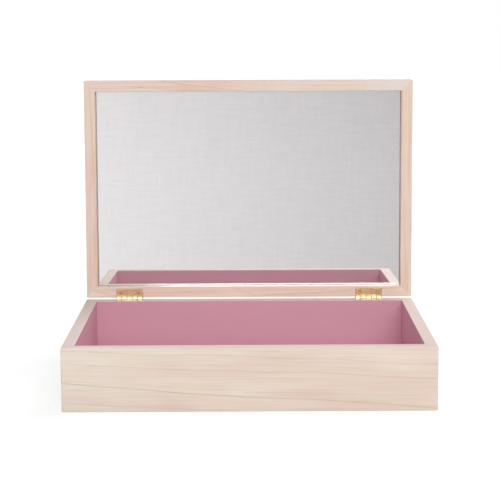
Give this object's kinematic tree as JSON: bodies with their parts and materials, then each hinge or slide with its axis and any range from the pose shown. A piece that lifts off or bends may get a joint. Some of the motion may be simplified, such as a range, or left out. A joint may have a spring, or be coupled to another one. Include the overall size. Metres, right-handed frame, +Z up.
{
  "type": "jewellery box",
  "caption": "Low rectangular wooden box with mitred corners, a painted inside and a hinged lid that holds a sunk mirror, for keeping jewellery on a dressing table.",
  "frame": {"origin": "middle of the box's flat underside", "axes": "+X to the right along the box's length, +Y to the back where the hinges are, +Z up"},
  "size_m": [0.3, 0.2244, 0.2531],
  "materials": {
    "wood": "bare sanded pale wood, painted dusty pink on the inner faces of the box",
    "mirror_glass": "polished, silvered behind",
    "foam_tape": "matt foam",
    "hinge_brass": "rolled, lightly polished",
    "screw_brass": "turned, polished"
  },
  "bodies": {
    "box": {"front_wall": "wood", "back_wall": "wood", "left_wall": "wood", "right_wall": "wood", "base_panel": "wood", "left_hinge_box_leaf": "hinge_brass", "right_hinge_box_leaf": "hinge_brass", "left_hinge_pin": "hinge_brass", "right_hinge_pin": "hinge_brass", "left_hinge_box_screw_left": "screw_brass", "left_hinge_box_screw_right": "screw_brass", "right_hinge_box_screw_left": "screw_brass", "right_hinge_box_screw_right": "screw_brass"},
    "lid": {"lid_front_rail": "wood", "lid_back_rail": "wood", "lid_left_rail": "wood", "lid_right_rail": "wood", "lid_panel": "wood", "mirror": "mirror_glass", "mirror_tape_left": "foam_tape", "mirror_tape_middle": "foam_tape", "mirror_tape_right": "foam_tape", "left_hinge_lid_leaf": "hinge_brass", "right_hinge_lid_leaf": "hinge_brass", "left_hinge_lid_screw_left": "screw_brass", "left_hinge_lid_screw_right": "screw_brass", "right_hinge_lid_screw_left": "screw_brass", "right_hinge_lid_screw_right": "screw_brass"}
  },
  "joints": [
    {"name": "lid_hinge", "type": "hinge", "parent": "box", "child": "lid", "pos_m": [0, 0.101, 0.0522], "axis": [1, 0, 0], "range_deg": [0, 91.5]}
  ]
}
